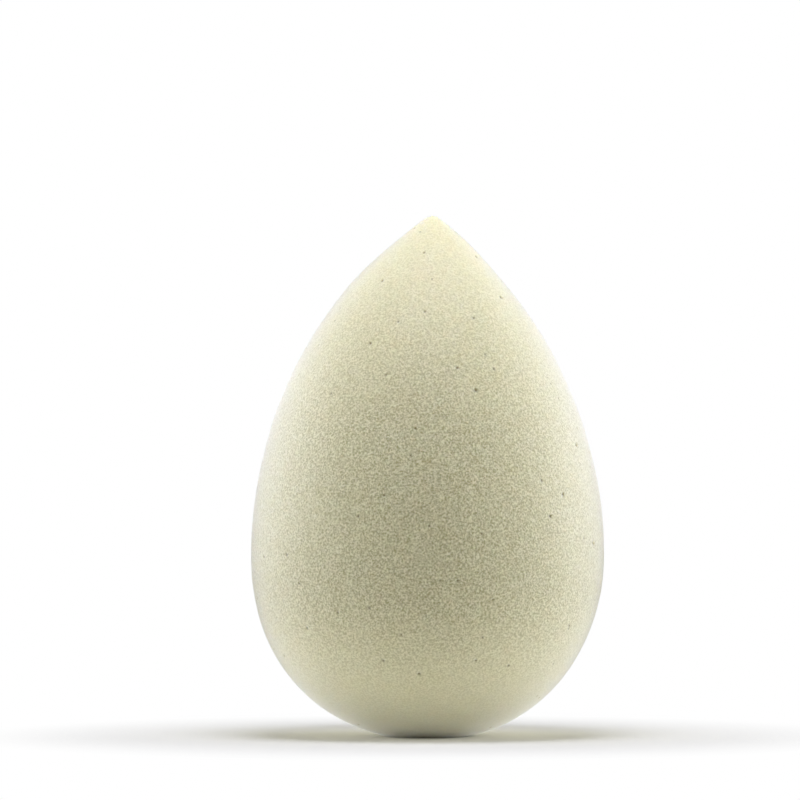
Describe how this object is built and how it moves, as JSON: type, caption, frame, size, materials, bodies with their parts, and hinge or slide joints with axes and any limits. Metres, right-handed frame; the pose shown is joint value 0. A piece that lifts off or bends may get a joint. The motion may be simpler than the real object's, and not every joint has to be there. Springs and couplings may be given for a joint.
{
  "type": "makeup sponge",
  "caption": "Teardrop makeup sponge of soft open-cell foam, with a fine tip for small areas and a round base for blending.",
  "frame": {"origin": "middle of the flat that the sponge stands on", "axes": "+Z from the flat through the round base to the tip; the body is a solid of revolution about Z"},
  "size_m": [0.04, 0.04, 0.059],
  "materials": {
    "foam": "matte, dry, fine open-cell foam with a velvety ground surface and small open pores"
  },
  "bodies": {
    "root": {"sponge_body": "foam"}
  },
  "joints": []
}
